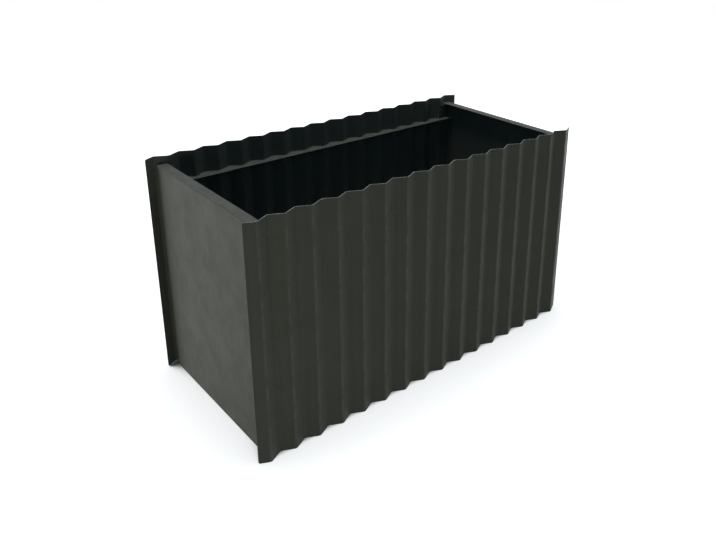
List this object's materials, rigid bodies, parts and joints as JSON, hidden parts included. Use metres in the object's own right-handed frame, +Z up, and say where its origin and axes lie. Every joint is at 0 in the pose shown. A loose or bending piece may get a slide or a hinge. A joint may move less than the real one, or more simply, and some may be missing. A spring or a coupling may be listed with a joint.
{
  "type": "raised garden bed",
  "caption": "Rectangular raised garden bed, open at top and bottom: long sides of upright-ribbed sheet, flat end panels with folded flanges, and inner stiffening rails.",
  "frame": {"origin": "middle of the footprint, on the ground", "axes": "+X along the bed, +Y across it to the rear, +Z up"},
  "size_m": [1.2, 0.575, 0.675],
  "materials": {
    "ribbed_sheet": "matt dark grey coating, bare at the cut edges",
    "end_panel": "matt dark grey coating",
    "rail": "matt dark grey coating",
    "rivet": "coated to match the sheets"
  },
  "bodies": {
    "root": {"front_corrugated_sheet": "ribbed_sheet", "rear_corrugated_sheet": "ribbed_sheet", "left_end_panel": "end_panel", "right_end_panel": "end_panel", "front_inner_rail": "rail", "rear_inner_rail": "rail", "front_left_corner_rivets": "rivet", "front_right_corner_rivets": "rivet", "front_rail_rivets": "rivet", "rear_left_corner_rivets": "rivet", "rear_right_corner_rivets": "rivet", "rear_rail_rivets": "rivet"}
  },
  "joints": []
}
